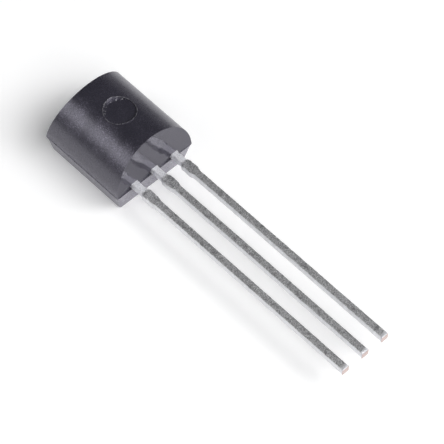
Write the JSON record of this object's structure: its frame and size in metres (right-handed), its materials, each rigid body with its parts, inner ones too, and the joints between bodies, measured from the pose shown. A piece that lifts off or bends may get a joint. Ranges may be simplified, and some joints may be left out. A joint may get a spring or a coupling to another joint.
{
  "type": "temperature sensor",
  "caption": "Leaded temperature sensor in a small D-shaped black moulded body with flat straight tin-plated leads for soldering to a board.",
  "frame": {"origin": "centre of the flat face of the moulded body, which lies on Z = 0", "axes": "+Z from the flat face to the round side, +X across the row of leads, leads leave the body along -Y"},
  "size_m": [0.0048, 0.0187, 0.0035],
  "materials": {
    "moulding": "satin",
    "lead": "satin",
    "die": "polished",
    "adhesive": "satin",
    "bond_wire": "polished"
  },
  "bodies": {
    "root": {"body_moulding": "moulding", "lead_left": "lead", "lead_centre": "lead", "lead_right": "lead", "sensor_die": "die", "die_attach": "adhesive", "bond_wire_left": "bond_wire", "bond_wire_centre": "bond_wire", "bond_wire_right": "bond_wire"}
  },
  "joints": []
}
